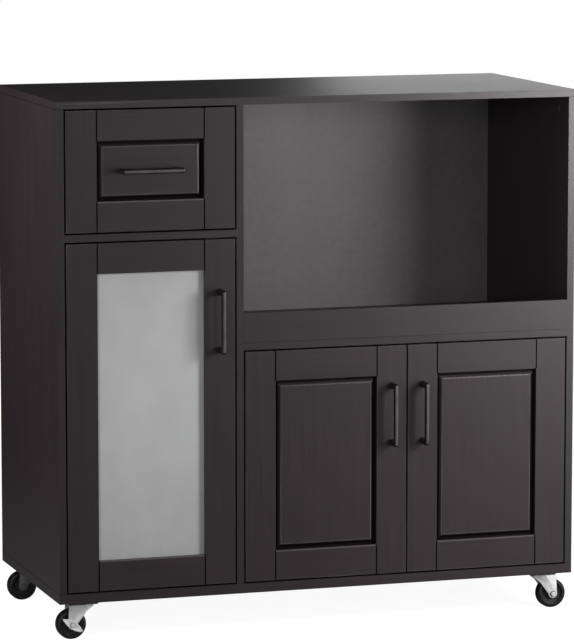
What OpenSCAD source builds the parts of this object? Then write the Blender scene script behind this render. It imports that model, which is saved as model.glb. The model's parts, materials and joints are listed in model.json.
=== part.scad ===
/* [Cabinet] */
// Overall width of the cabinet
cabinet_w = 900; // [800:5:1000]
// Depth of the boards, front plane to back edge
cabinet_d = 400; // [360:5:460]
// Height of the cabinet body, without its castors
body_h = 826; // [780:1:900]
// Thickness of the side panels and the divider
side_t = 12; // [11:0.5:18]
// Thickness of the top board
top_t = 12; // [11:0.5:20]
// Thickness of the bottom board
bottom_t = 16; // [12:0.5:22]
// Thickness of the two fixed shelves
shelf_t = 12; // [11:0.5:18]
// Thickness of the two back panels
back_t = 3; // [2.5:0.5:4]
// Distance from the back edges to the back panels
back_inset = 10; // [6:1:16]
// Depth of the grooves that hold the back panels
back_groove = 4; // [3:0.5:4.5]
// Inner width of the left bay, with the drawer and the glass door
left_bay_w = 292; // [270:1:330]
// Inner height of the drawer bay
drawer_bay_h = 205; // [180:1:220]
// Height of the open niche, from its shelf to the top board
niche_h = 394; // [340:1:430]
// Height of the lip that keeps the appliance on the niche shelf
lip_h = 50; // [30:1:70]
// Thickness of that lip
lip_t = 12; // [10:0.5:16]

/* [Fronts] */
// Gap round each inset door and drawer front
reveal = 3; // [2.5:0.5:5]
// Thickness of the frames of the doors and the drawer front
front_t = 16; // [15:0.5:18]
// Width of the upright stiles
stile_w = 52; // [48:1:60]
// Width of the cross rails
rail_w = 50; // [40:1:60]
// How far the raised field lies behind the face of its frame
field_drop = 2.5; // [1:0.5:4]
// Depth of the sunk margin round the raised field
margin_drop = 8; // [6:0.5:9]
// Width of the flat part of that margin
margin_flat = 3.5; // [2:0.5:6]
// Width of the bevel up to the raised field
bevel_w = 6.5; // [4:0.5:10]
// Thickness of the panel's tongue, held in the frame's groove
tongue_t = 5; // [4:0.5:6]
// How far the tongue reaches into its groove
tongue_l = 8; // [5:0.5:10]
// Play of the tongue in the groove, on each side
tongue_fit = 0.2; // [0.1:0.05:0.4]
// Visible line between a rail and its stile
glue_line = 0.15; // [0.1:0.05:0.3]
// Thickness of the frosted pane
glass_t = 4; // [3:0.5:5]
// Depth of the glass behind the face of its frame
glass_drop = 7; // [5:0.5:8]
// Width of the rebate that the glass and its beads lie in
rebate_w = 8; // [6:0.5:10]
// Play of the pane in its rebate
glass_fit = 0.5; // [0.3:0.1:1]

/* [Handles] */
// Distance between the two screws of a handle
handle_pitch = 96; // [64:1:128]
// Width of the handle bar, seen from the front
handle_w = 8; // [6:0.5:12]
// Depth of the handle bar
handle_t = 8; // [6:0.5:10]
// Width of the two legs, along the bar
handle_leg = 11; // [8:0.5:14]
// How far the handles stand out from the fronts
handle_reach = 27; // [22:0.5:35]
// Radius of the handle's outer corners
handle_r = 5; // [3:0.5:7]
// Diameter of the handle screws
handle_screw_d = 4; // [3:0.5:5]
// Diameter of the heads of the handle screws
handle_screw_head_d = 9; // [7:0.5:10]
// Height of the heads of the handle screws
handle_screw_head_h = 2; // [1.5:0.5:3]
// Distance from the glass door's upper edge down to the middle of its handle
glass_handle_drop = 135; // [80:1:240]
// Distance from the paired doors' upper edges down to the middle of their handles
pair_handle_drop = 115; // [80:1:180]

/* [Hinges] */
// Distance from the door's edge to the hinge pin
pin_from_edge = 11; // [10.5:0.1:11.5]
// Distance from the door's face back to the hinge pin
pin_from_face = 7.5; // [7.2:0.1:7.6]
// Diameter of the hinge pin
hinge_pin_d = 2.5; // [2:0.1:2.6]
// Running clearance of the hinge pin in its knuckle, on the radius
hinge_fit = 0.05; // [0.02:0.01:0.1]
// Diameter of the hinge cup
cup_d = 35; // [34:0.5:36]
// Distance from the door's edge to the rim of the cup
cup_from_edge = 5; // [4.5:0.5:6]
// Depth of the cup's bore in the door
cup_bore_depth = 12.4; // [12.3:0.1:12.8]
// Wall of the pressed cup
cup_wall = 1; // [0.8:0.1:1.2]
// Height of the hinge arm
arm_h = 10; // [8:0.5:11]
// Thickness of the hinge arm
arm_t = 3; // [2.5:0.25:3.25]
// Length of the hinge's mounting plate
plate_l = 40; // [34:1:46]
// Height of the hinge's mounting plate
plate_h = 44; // [36:1:50]
// Distance from the ends of the glass door to its hinges
glass_hinge_inset = 90; // [70:1:130]
// Distance from the ends of the paired doors to their hinges
pair_hinge_inset = 75; // [60:1:110]

/* [Drawer] */
// Thickness of the sides and the back of the drawer box
box_t = 12; // [10:0.5:15]
// Height of the sides of the drawer box
box_h = 120; // [90:1:140]
// Length of the drawer box behind its front
box_l = 330; // [300:1:345]
// Height of the drawer box above the foot of its front
box_lift = 24; // [20:1:32]
// Thickness of the drawer's bottom
drawer_bottom_t = 4; // [3:0.5:5]
// Height of the drawer's bottom above the foot of the sides
bottom_lift = 8; // [6:0.5:12]
// How far the bottom reaches into the grooves of the sides
bottom_groove = 5; // [4:0.5:6]

/* [Runners] */
// Room for one runner between the cabinet and the drawer box
runner_w = 12.5; // [12:0.5:14]
// Sheet of the runners
runner_t = 1.2; // [1:0.1:1.5]
// Inner height of the cabinet's channel
channel_h = 19; // [18.5:0.5:21]
// Diameter of the rollers
roller_d = 16; // [15:0.25:16.5]
// Width of the rollers
roller_w = 7; // [6:0.25:7.5]
// Diameter of the roller pins
roller_pin_d = 5; // [4:0.25:6]
// Diameter of the heads of the roller pins
roller_head_d = 8; // [7:0.5:10]
// Running clearance of the rollers on their pins, on the radius
roller_fit = 0.05; // [0.02:0.01:0.1]
// Distance from the cabinet's front to the front rollers
front_roller_y = 38; // [34:1:45]
// Distance from the end of the drawer box to the rear rollers
rear_roller_inset = 18; // [14:1:30]

/* [Shelves] */
// Thickness of the two loose shelves
loose_shelf_t = 12; // [10:0.5:18]
// Height of the loose shelf in the left bay above the bottom board
left_shelf_z = 290; // [260:1:340]
// Height of the loose shelf in the right bay above the bottom board
right_shelf_z = 196; // [180:1:210]
// Distance from the front plane to the loose shelves
shelf_setback = 45; // [35:1:80]
// Play at the ends of the loose shelves
shelf_play = 1; // [0.5:0.5:2]
// Diameter of the shelf pins
pin_d = 5; // [4:0.5:6]
// How far a shelf pin stands out
pin_reach = 9; // [7:0.5:12]
// Depth of the holes for the shelf pins
pin_hole = 5.5; // [5:0.25:5.5]
// Distance between two rows of holes
pin_row = 32; // [25:1:40]
// Distance from the front plane, and from the back, to the rows of holes
pin_inset = 65; // [60:1:90]

/* [Fittings] */
// Diameter of the cam locks
cam_d = 12; // [10:0.5:15]
// Depth of the cam locks
cam_depth = 9.5; // [8:0.5:10]
// Distance from a board's end to its cam locks
cam_inset = 24; // [20:1:30]
// Diameter of the bolts of the cam locks
bolt_d = 5; // [4:0.5:5.5]
// How far those bolts reach into the next board
bolt_reach = 8; // [6:0.5:9]
// Distance from the front and the back to the cam locks
cam_edge = 45; // [35:1:60]
// Width of the magnetic catches
catch_w = 40; // [30:1:46]
// Depth of the magnetic catches
catch_d = 14; // [10:0.5:20]
// Height of the magnetic catches
catch_h = 13; // [10:0.5:16]
// Thickness of the strike plates
strike_t = 1.5; // [1:0.25:2]

/* [Castors] */
// Height of the castors
castor_h = 64; // [62:1:70]
// Diameter of the wheels
wheel_d = 50; // [46:1:52]
// Width of the wheels
wheel_w = 20; // [16:0.5:22]
// Length of the wheel's hub, between the fork legs
hub_w = 24; // [23:0.5:26]
// Radius of the rounded edges of the tread
tread_r = 5; // [3:0.5:7]
// Distance from the swivel axis back to the axle
trail = 20; // [18:0.5:23]
// Distance from the cabinet's sides to the swivel axes
castor_inset_x = 46; // [44:1:70]
// Distance from the front plane, and from the back, to the swivel axes
castor_inset_y = 32; // [30:1:70]
// Side of the square castor plate
plate_side = 48; // [44:1:52]
// Thickness of the castor plate
plate_t = 2.5; // [2:0.25:3]
// Distance between the screws of the castor plate
plate_pitch = 36; // [34:1:38]
// Diameter of the screw holes in the castor plate
plate_hole_d = 4.6; // [4.2:0.2:5]
// Diameter of the screws of the castor plate
castor_screw_d = 4; // [3.5:0.1:4.1]
// How far those screws reach into the bottom board
castor_screw_l = 10; // [8:1:11]
// Diameter of the heads of those screws
castor_screw_head_d = 7.5; // [6.5:0.5:8.5]
// Height of the heads of those screws
castor_screw_head_h = 2; // [1.5:0.25:2.5]
// Diameter of the ball race under the plate
race_d = 30; // [26:1:34]
// Height of the ball race
race_h = 3; // [2:0.5:4]
// Diameter of the king pin
king_d = 8; // [6:0.5:10]
// Diameter of the head of the king pin
king_head_d = 14; // [12:0.5:16]
// Sheet of the fork
fork_t = 2; // [1.5:0.25:2.5]
// Diameter of the axle
axle_d = 6; // [5:0.25:7]
// Running clearance of the axle and the king pin, on the radius
castor_fit = 0.05; // [0.02:0.01:0.1]
// Length of the brake lever
lever_l = 42; // [36:1:46]
// Width of the brake lever
lever_w = 13; // [12:0.5:16]
// Sheet of the brake lever
lever_t = 1.5; // [1.25:0.25:2]
// Width of the lever's turned-out rim
lever_rim = 6; // [4:0.5:9]
// Slope of the brake lever at rest
lever_tilt = 33; // [20:1:40]

/* [Hidden] */
$fn = 48;

espresso = "#2b2524";
bare_board = "#8a7a68";
zinc = "#b9bcc0";
dark_metal = "#1c1a1a";
tyre_black = "#161616";
frosted = "#a9b0b2";
runner_white = "#d9d9d4";

// The face that rests on another piece without being fixed to it keeps this gap
seat_gap = 0.3;
// Depth of a cut past the face that it opens
eps = 1;
// Play on the diameter: cam locks, their bolts, shelf pins, screws in holes and screws in threads
cam_play = 0.4;
bolt_play = 0.6;
pin_play = 0.1;
screw_play = 0.4;
thread_play = 0.1;
// Free depth past the end of a pin, a bolt or a screw
end_play = 0.2;

// Planes of the carcass. The middle of the depth lies between the handles and the back edges.
front_y = -(cabinet_d - handle_reach) / 2;
back_y = front_y + cabinet_d;
left_x = -cabinet_w / 2 + side_t;
right_x = cabinet_w / 2 - side_t;
divider_x0 = left_x + left_bay_w;
divider_x1 = divider_x0 + side_t;
floor_z = castor_h + bottom_t;
ceiling_z = castor_h + body_h - top_t;
back_face_y = back_y - back_inset - back_t;
drawer_shelf_top = ceiling_z - drawer_bay_h;
drawer_shelf_under = drawer_shelf_top - shelf_t;
niche_shelf_top = ceiling_z - niche_h;
niche_shelf_under = niche_shelf_top - shelf_t;

// Fronts: width, height and lower front left corner
drawer_front_w = left_bay_w - 2 * reveal;
drawer_front_h = drawer_bay_h - 2 * reveal;
drawer_front_at = [left_x + reveal, front_y, drawer_shelf_top + reveal];
glass_door_w = left_bay_w - 2 * reveal;
glass_door_h = drawer_shelf_under - floor_z - 2 * reveal;
glass_door_at = [left_x + reveal, front_y, floor_z + reveal];
pair_door_w = (right_x - divider_x1 - 3 * reveal) / 2;
pair_door_h = niche_shelf_under - floor_z - 2 * reveal;
left_door_at = [divider_x1 + reveal, front_y, floor_z + reveal];
right_door_at = [left_door_at.x + pair_door_w + reveal, front_y, floor_z + reveal];

// The drawer box between its runners
box_x0 = left_x + runner_w;
box_x1 = divider_x0 - runner_w;
box_y0 = front_y + front_t;
box_y1 = box_y0 + box_l;
box_z = drawer_front_at.z + box_lift;

// Hinge pins in a door's plan, from the pin: its edge, back face, cup and the panel's face
panel_dx = -pin_from_edge - reveal;
back_dy = front_t - pin_from_face;
cup_dx = cup_from_edge + cup_d / 2 - pin_from_edge;
cup_floor_dy = back_dy - cup_bore_depth;
cup_clearance = 0.1;
// Mounting plate: its sheet, and its front edge behind the pin
plate_sheet = 2.5;
plate_dy = 20;
// The arm's route from its knuckle, round the door's edge, to the mounting plate
arm_route = [
    [0, 0], [12, 1.5], [16, 9], [15, 16],
    [panel_dx + plate_sheet + arm_t / 2, plate_dy + 2],
    [panel_dx + plate_sheet + arm_t / 2, plate_dy + plate_l - 2]
];

// Runners: height of the channel's floor and of the roller pins
channel_z = box_z + 2;
roller_z = channel_z + runner_t + seat_gap + roller_d / 2;
slide_flange_z = roller_z + roller_d / 2 + seat_gap;
front_roller_at_y = front_y + front_roller_y;
rear_roller_at_y = box_y1 - rear_roller_inset;

// Cam locks: where a board ends on the next one, and the turn that points the bolt there
cam_ys = [front_y + cam_edge, back_y - cam_edge];
upright_xs = [left_x - side_t / 2, divider_x0 + side_t / 2, right_x + side_t / 2];
CAMS = [
    for (y = cam_ys) each [
        for (i = [0:2]) [[upright_xs[i], y, ceiling_z], [0, 0, i == 2 ? 180 : 0], side_t],
        for (i = [0:2]) [[upright_xs[i], y, floor_z], [180, 0, i == 2 ? 180 : 0], side_t],
        for (s = [[left_x, drawer_shelf_top, 180], [divider_x0, drawer_shelf_top, 0],
                  [divider_x1, niche_shelf_top, 180], [right_x, niche_shelf_top, 0]])
            [[s[0], y, s[1] - shelf_t / 2], [0, 90, s[2]], shelf_t]
    ]
];

// Loose shelves: the height of the pins' axes
pin_lift = 0.1;
left_pin_z = floor_z + left_shelf_z - pin_lift - pin_d / 2;
right_pin_z = floor_z + right_shelf_z - pin_lift - pin_d / 2;
pin_ys = [front_y + pin_inset, back_y - pin_inset];

// Castors: swivel axis, and 1 or -1 for the side that the wheel trails to
axle_drop = castor_h - wheel_d / 2;
castor_x = cabinet_w / 2 - castor_inset_x;
castor_y0 = front_y + castor_inset_y;
castor_y1 = back_y - castor_inset_y;
FRONT_LEFT = [-castor_x, castor_y0, -1];
FRONT_RIGHT = [castor_x, castor_y0, 1];
REAR_LEFT = [-castor_x, castor_y1, -1];
REAR_RIGHT = [castor_x, castor_y1, 1];
CASTORS = [FRONT_LEFT, FRONT_RIGHT, REAR_LEFT, REAR_RIGHT];
crown_z = -plate_t - race_h - seat_gap - fork_t;
leg_in = hub_w / 2 + seat_gap;
leg_out = leg_in + fork_t;
crown_back = race_d / 2 + 1;
crown_front = trail + 5.5;
lever_in = leg_out + seat_gap;

module box(a, b) {
    translate(a) cube(b - a);
}

function unit(v) = v / norm(v);
function left_of(v) = [-v.y, v.x];

// Corner of a strip along a list of points, at a distance to the left of point i
function strip_corner(points, i, distance) =
    let (last = len(points) - 1,
         a = unit(points[max(i, 1)] - points[max(i, 1) - 1]),
         b = unit(points[min(i, last - 1) + 1] - points[min(i, last - 1)]),
         n = unit(left_of(a) + left_of(b)))
    points[i] + n * distance / (n * left_of(a));

// A bent strip of even width
module strip(points, width) {
    last = len(points) - 1;
    polygon([
        for (i = [0:last]) strip_corner(points, i, width / 2),
        for (i = [last:-1:0]) strip_corner(points, i, -width / 2)
    ]);
}

module rod_y(d, y0, y1) {
    translate([0, y0, 0]) rotate([-90, 0, 0]) cylinder(d = d, h = y1 - y0);
}

module rod_x(d, x0, x1) {
    translate([x0, 0, 0]) rotate([0, 90, 0]) cylinder(d = d, h = x1 - x0);
}

// ---- Carcass ----

module at_cams() {
    for (c = CAMS)
        translate(c[0]) rotate(c[1]) cam_place(c[2]) children();
}

module cam_place(board_t) {
    $board_t = board_t;
    children();
}

// Bore for the cam's disc and the drilling for its bolt, from the board's end
module cam_bores() {
    at_cams() {
        translate([0, 0, -cam_inset])
            rod_x(cam_d + cam_play, $board_t / 2 - cam_depth, $board_t / 2 + eps);
        translate([0, 0, -cam_inset])
            cylinder(d = bolt_d + bolt_play, h = cam_inset + bolt_reach + end_play);
    }
}

module back_groove_cut(x0, x1) {
    play = 0.2;
    box([x0 - back_groove, back_face_y - play, floor_z - back_groove],
        [x1 + back_groove, back_face_y + back_t + play, ceiling_z + back_groove]);
}

module carcass_board(a, b) {
    difference() {
        box(a, b);
        cam_bores();
        back_groove_cut(left_x, divider_x0);
        back_groove_cut(divider_x1, right_x);
        pin_holes();
    }
}

// Three rows of holes for the pins of each loose shelf
module pin_holes() {
    hole_d = pin_d + pin_play;
    for (y = pin_ys, row = [-1:1]) {
        translate([0, y, left_pin_z + row * pin_row]) {
            rod_x(hole_d, left_x - pin_hole, left_x + eps);
            rod_x(hole_d, divider_x0 - eps, divider_x0 + pin_hole);
        }
        translate([0, y, right_pin_z + row * pin_row]) {
            rod_x(hole_d, divider_x1 - pin_hole, divider_x1 + eps);
            rod_x(hole_d, right_x - eps, right_x + pin_hole);
        }
    }
}

module top_board() {
    color(espresso)
        carcass_board([-cabinet_w / 2, front_y, ceiling_z], [cabinet_w / 2, back_y, ceiling_z + top_t]);
}

module bottom_board() {
    color(espresso)
        difference() {
            carcass_board([-cabinet_w / 2, front_y, castor_h], [cabinet_w / 2, back_y, floor_z]);
            for (c = CASTORS)
                at_castor(c) at_plate_screws() translate([0, 0, -eps])
                    cylinder(d = castor_screw_d + thread_play, h = castor_screw_l + eps + end_play);
        }
}

module upright(x0) {
    color(espresso)
        carcass_board([x0, front_y, floor_z], [x0 + side_t, back_y, ceiling_z]);
}

module drawer_shelf() {
    color(espresso)
        carcass_board([left_x, front_y, drawer_shelf_under], [divider_x0, back_face_y, drawer_shelf_top]);
}

module niche_shelf() {
    color(espresso)
        carcass_board([divider_x1, front_y, niche_shelf_under], [right_x, back_face_y, niche_shelf_top]);
}

module niche_lip_rail() {
    color(espresso)
        box([divider_x1, front_y, niche_shelf_top],
            [right_x, front_y + lip_t, niche_shelf_top + lip_h]);
}

module back_panel(x0, x1) {
    play = 0.5;
    reach = back_groove - play;
    color(bare_board)
        box([x0 - reach, back_face_y, floor_z - reach],
            [x1 + reach, back_face_y + back_t, ceiling_z + reach]);
}

module loose_shelf(x0, x1, height) {
    color(espresso)
        box([x0 + shelf_play, front_y + shelf_setback, floor_z + height],
            [x1 - shelf_play, back_face_y - shelf_play, floor_z + height + loose_shelf_t]);
}

module shelf_pins() {
    depth = pin_hole - end_play;
    color(zinc)
        for (y = pin_ys) {
            translate([0, y, left_pin_z]) {
                rod_x(pin_d, left_x - depth, left_x + pin_reach);
                rod_x(pin_d, divider_x0 - pin_reach, divider_x0 + depth);
            }
            translate([0, y, right_pin_z]) {
                rod_x(pin_d, divider_x1 - depth, divider_x1 + pin_reach);
                rod_x(pin_d, right_x - pin_reach, right_x + depth);
            }
        }
}

// Cam discs with a cross slot, each round the neck of its bolt
module cam_fittings() {
    slot_w = 1.5;
    slot_depth = 1.5;
    slot_l = cam_d * 0.6;
    neck = cam_d / 2 + 0.5;
    color(zinc)
        at_cams() {
            difference() {
                translate([0, 0, -cam_inset])
                    rod_x(cam_d, $board_t / 2 - cam_depth + end_play, $board_t / 2 - end_play);
                for (turn = [0, 90])
                    translate([$board_t / 2, 0, -cam_inset]) rotate([turn, 0, 0])
                        cube([2 * slot_depth, slot_w, slot_l], center = true);
            }
            translate([0, 0, neck - cam_inset]) cylinder(d = bolt_d, h = cam_inset - neck + bolt_reach);
        }
}

// ---- Magnetic catches and strike plates ----

function catch_x(door_at, door_w, edge) = door_at.x + (edge > 0 ? door_w - stile_w / 2 : stile_w / 2);

module magnetic_catch(x, under_z) {
    y0 = front_y + front_t + strike_t + seat_gap;
    slot_w = catch_w / 2;
    slot_h = catch_h * 0.35;
    slot_depth = 1;
    color(dark_metal)
        difference() {
            box([x - catch_w / 2, y0, under_z - catch_h], [x + catch_w / 2, y0 + catch_d, under_z]);
            box([x - slot_w / 2, y0 - eps, under_z - 2 * slot_h],
                [x + slot_w / 2, y0 + slot_depth, under_z - slot_h]);
        }
}

module magnetic_catches() {
    magnetic_catch(catch_x(glass_door_at, glass_door_w, 1), drawer_shelf_under);
    magnetic_catch(catch_x(left_door_at, pair_door_w, 1), niche_shelf_under);
    magnetic_catch(catch_x(right_door_at, pair_door_w, -1), niche_shelf_under);
}

module strike_plate(x, under_z) {
    y0 = front_y + front_t;
    edge_gap = 0.5;
    color(zinc)
        box([x - catch_w / 2, y0, under_z - catch_h],
            [x + catch_w / 2, y0 + strike_t, under_z - reveal - edge_gap]);
}

// ---- Frames and panels, from the lower front left corner of a front ----

module groove_run(length) {
    translate([0, margin_drop - tongue_fit, 0])
        cube([tongue_l + 1, tongue_t + 2 * tongue_fit, length]);
}

module panel_stile(h) {
    difference() {
        cube([stile_w, front_t, h]);
        translate([stile_w - tongue_l - 1, 0, -eps]) groove_run(h + 2 * eps);
    }
}

module panel_rail(w) {
    inner = w - 2 * stile_w;
    tenon_h = rail_w - tongue_l - 1.5;
    difference() {
        translate([glue_line, 0, 0]) cube([inner - 2 * glue_line, front_t, rail_w]);
        translate([-eps, 0, rail_w]) rotate([0, 90, 0]) groove_run(inner + 2 * eps);
    }
    for (x = [-tongue_l, inner - tongue_l])
        translate([x, margin_drop, 0]) cube([2 * tongue_l, tongue_t, tenon_h]);
}

module panel_frame(w, h) {
    panel_stile(h);
    translate([w, 0, 0]) mirror([1, 0, 0]) panel_stile(h);
    translate([stile_w, 0, 0]) panel_rail(w);
    translate([stile_w, 0, h]) mirror([0, 0, 1]) panel_rail(w);
}

// Outline of the raised field across a span: sunk margin, bevel and field
module raised_outline(a, b) {
    polygon([
        [a + margin_flat, margin_drop + tongue_t], [a + margin_flat, margin_drop],
        [a + margin_flat + bevel_w, field_drop], [b - margin_flat - bevel_w, field_drop],
        [b - margin_flat, margin_drop], [b - margin_flat, margin_drop + tongue_t]
    ]);
}

module raised_panel(w, h) {
    a = [stile_w, 0, rail_w];
    b = [w - stile_w, 0, h - rail_w];
    color(espresso) {
        box([a.x - tongue_l, margin_drop, a.z - tongue_l],
            [b.x + tongue_l, margin_drop + tongue_t, b.z + tongue_l]);
        intersection() {
            linear_extrude(h) raised_outline(a.x, b.x);
            translate([w, 0, 0]) rotate([0, -90, 0]) linear_extrude(w) raised_outline(a.z, b.z);
        }
    }
}

module glass_rebate(w, h) {
    translate([stile_w - rebate_w, glass_drop, rail_w - rebate_w])
        cube([w - 2 * (stile_w - rebate_w), front_t, h - 2 * (rail_w - rebate_w)]);
}

module glass_frame(w, h) {
    for (x = [0, w - stile_w])
        difference() {
            translate([x, 0, 0]) cube([stile_w, front_t, h]);
            glass_rebate(w, h);
        }
    for (z = [0, h - rail_w])
        difference() {
            translate([stile_w + glue_line, 0, z]) cube([w - 2 * (stile_w + glue_line), front_t, rail_w]);
            glass_rebate(w, h);
        }
}

module glass_pane() {
    edge = rebate_w - glass_fit;
    color(frosted)
        translate(glass_door_at)
            box([stile_w - edge, glass_drop, rail_w - edge],
                [glass_door_w - stile_w + edge, glass_drop + glass_t, glass_door_h - rail_w + edge]);
}

// Four beads behind the pane
module glass_beads() {
    bead_y = glass_drop + glass_t;
    inner_w = glass_door_w - 2 * stile_w;
    inner_h = glass_door_h - 2 * rail_w;
    color(espresso)
        translate(glass_door_at) {
            for (x = [stile_w - rebate_w, glass_door_w - stile_w])
                translate([x, bead_y, rail_w - rebate_w])
                    cube([rebate_w, front_t - bead_y, inner_h + 2 * rebate_w]);
            for (z = [rail_w - rebate_w, glass_door_h - rail_w])
                translate([stile_w + glue_line, bead_y, z])
                    cube([inner_w - 2 * glue_line, front_t - bead_y, rebate_w]);
        }
}

// ---- Handles: a bent bar with its two screws, standing upright on the face ----

module handle_outline() {
    half = (handle_pitch + handle_leg) / 2;
    gap = half - handle_leg;
    difference() {
        union() {
            translate([-handle_reach + handle_r, -half]) square([handle_reach - handle_r, 2 * half]);
            translate([-handle_reach, -half + handle_r]) square([handle_r, 2 * (half - handle_r)]);
            for (side = [-1, 1])
                translate([-handle_reach + handle_r, side * (half - handle_r)]) circle(r = handle_r);
        }
        translate([-handle_reach + handle_t, -gap]) square([handle_reach - handle_t + eps, 2 * gap]);
    }
}

// behind is the depth at which the screw heads bear on the back of the front
module handle(behind) {
    screw_in = handle_reach - handle_t;
    free_end = 2;
    color(dark_metal)
        difference() {
            translate([handle_w / 2, 0, 0]) rotate([0, -90, 0]) rotate(90)
                linear_extrude(handle_w) handle_outline();
            handle_screw_bores(-screw_in, eps, handle_screw_d);
        }
    color(zinc)
        for (side = [-1, 1])
            translate([0, 0, side * handle_pitch / 2]) {
                rod_y(handle_screw_d - thread_play, -screw_in + free_end, behind + eps);
                rod_y(handle_screw_head_d, behind, behind + handle_screw_head_h);
            }
}

module handle_screw_bores(y0, y1, d) {
    for (side = [-1, 1])
        translate([0, 0, side * handle_pitch / 2]) rod_y(d, y0, y1);
}

panel_back = margin_drop + tongue_t;
glass_handle_at = glass_door_at + [glass_door_w - stile_w / 2, 0, glass_door_h - glass_handle_drop];
left_handle_at = left_door_at + [pair_door_w - stile_w / 2, 0, pair_door_h - pair_handle_drop];
right_handle_at = right_door_at + [stile_w / 2, 0, pair_door_h - pair_handle_drop];
drawer_handle_at = drawer_front_at + [drawer_front_w / 2, 0, drawer_front_h / 2];

// ---- Hinges: local frame with the pin upright at the origin and the door towards +X ----

function hinge_zs(door_h, inset) = [inset, door_h - inset];

module at_hinges(door_at, door_h, inset) {
    for (z = hinge_zs(door_h, inset))
        translate(door_at + [pin_from_edge, pin_from_face, z]) children();
}

module cup_bore() {
    translate([cup_dx, 0, 0]) rod_y(cup_d, cup_floor_dy, back_dy + eps);
}

module hinge_cup() {
    flange_w = 20;
    flange_h = 52;
    flange_t = 1.2;
    lug_z = arm_h / 2 + 0.5;
    lug_t = 2;
    lug_w = 12;
    lug_l = 9.6;
    color(zinc)
        difference() {
            union() {
                translate([cup_dx, 0, 0])
                    rod_y(cup_d - 2 * cup_clearance, cup_floor_dy + cup_clearance, back_dy + flange_t);
                translate([cup_dx - flange_w / 2, back_dy, -flange_h / 2])
                    cube([flange_w, flange_t, flange_h]);
            }
            difference() {
                translate([cup_dx, 0, 0])
                    rod_y(cup_d - 2 * (cup_wall + cup_clearance), cup_floor_dy + cup_clearance + cup_wall,
                          back_dy + flange_t + eps);
                for (side = [-1, 1])
                    translate([0, 0, side * (lug_z + lug_t / 2)])
                        translate([-lug_w / 2, -lug_w / 2, -lug_t / 2]) cube([lug_w, lug_l, lug_t]);
                cylinder(d = hinge_pin_d, h = 2 * (lug_z + lug_t / 2), center = true);
            }
        }
}

module hinge_arm() {
    knuckle_wall = 1.25;
    knuckle_d = hinge_pin_d + 2 * knuckle_wall;
    plate_screw_d = 4;
    plate_screw_z = plate_h * 0.35;
    color(zinc)
        difference() {
            union() {
                linear_extrude(arm_h, center = true) {
                    strip(arm_route, arm_t);
                    circle(d = knuckle_d);
                }
                translate([panel_dx, plate_dy, -plate_h / 2]) cube([plate_sheet, plate_l, plate_h]);
            }
            cylinder(d = hinge_pin_d + 2 * hinge_fit, h = arm_h + 2 * eps, center = true);
            for (side = [-1, 1])
                translate([panel_dx, plate_dy + plate_l / 2, side * plate_screw_z])
                    rod_x(plate_screw_d, -eps, plate_sheet + eps);
        }
}

// ---- Drawer ----

module drawer_side() {
    color(espresso)
        difference() {
            box([box_x0, box_y0, box_z], [box_x0 + box_t, box_y1, box_z + box_h]);
            box([box_x0 + box_t - bottom_groove - 0.5, box_y0 - eps, box_z + bottom_lift],
                [box_x0 + box_t + eps, box_y1 + eps, box_z + bottom_lift + drawer_bottom_t]);
        }
}

module mirror_drawer() {
    middle = (box_x0 + box_x1) / 2;
    translate([middle, 0, 0]) mirror([1, 0, 0]) translate([-middle, 0, 0]) children();
}

module drawer_back() {
    color(espresso)
        box([box_x0 + box_t, box_y1 - box_t, box_z + bottom_lift + drawer_bottom_t],
            [box_x1 - box_t, box_y1, box_z + box_h]);
}

module drawer_bottom() {
    edge = box_t - bottom_groove;
    color(bare_board)
        box([box_x0 + edge, box_y0, box_z + bottom_lift],
            [box_x1 - edge, box_y1, box_z + bottom_lift + drawer_bottom_t]);
}

// ---- Runners, for the left side ----

roller_head_t = 1;
front_roller_x = left_x + runner_t + seat_gap;
rear_roller_x = front_roller_x + roller_head_t + seat_gap;
slide_x = box_x0 - runner_t;

// Channel on the cabinet's side, with the pin of the front roller
module cabinet_runner() {
    flange_gap = 1.5;
    setback = 4;
    reach = runner_w - runner_t - flange_gap;
    top = channel_z + 2 * runner_t + channel_h;
    y0 = front_y + front_t + setback;
    color(runner_white) {
        box([left_x, y0, channel_z], [left_x + runner_t, box_y1, top]);
        box([left_x, y0, channel_z], [left_x + reach, box_y1, channel_z + runner_t]);
        box([left_x, front_roller_at_y + roller_d, top - runner_t], [left_x + reach, box_y1, top]);
    }
    color(zinc)
        translate([0, front_roller_at_y, roller_z])
            roller_pin(left_x + runner_t / 2, front_roller_x + roller_w + seat_gap + roller_head_t);
}

module roller_pin(x0, x1) {
    rod_x(roller_pin_d, x0, x1);
    rod_x(roller_head_d, x1 - roller_head_t, x1);
}

// Angle under the drawer box, with the pin of the rear roller
module drawer_runner() {
    foot = box_z - runner_t;
    flange_x = left_x + runner_t + 1;
    color(runner_white) {
        box([slide_x, box_y0, foot], [box_x0, box_y1, slide_flange_z + runner_t]);
        box([slide_x, box_y0, foot], [box_x0 + box_t, box_y1, box_z]);
        box([flange_x, box_y0, slide_flange_z], [box_x0, box_y1, slide_flange_z + runner_t]);
    }
    color(zinc)
        translate([0, rear_roller_at_y, roller_z]) mirror([1, 0, 0])
            roller_pin(-slide_x - runner_t / 2, -front_roller_x);
}

module roller(x0) {
    color(runner_white)
        difference() {
            rod_x(roller_d, x0, x0 + roller_w);
            rod_x(roller_pin_d + 2 * roller_fit, x0 - eps, x0 + roller_w + eps);
        }
}

// ---- Castors: local frame with the swivel axis at the origin, up to the plate's top face ----

module at_castor(c) {
    translate([c.x, c.y, castor_h]) rotate(c.z > 0 ? 0 : 180) children();
}

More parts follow.
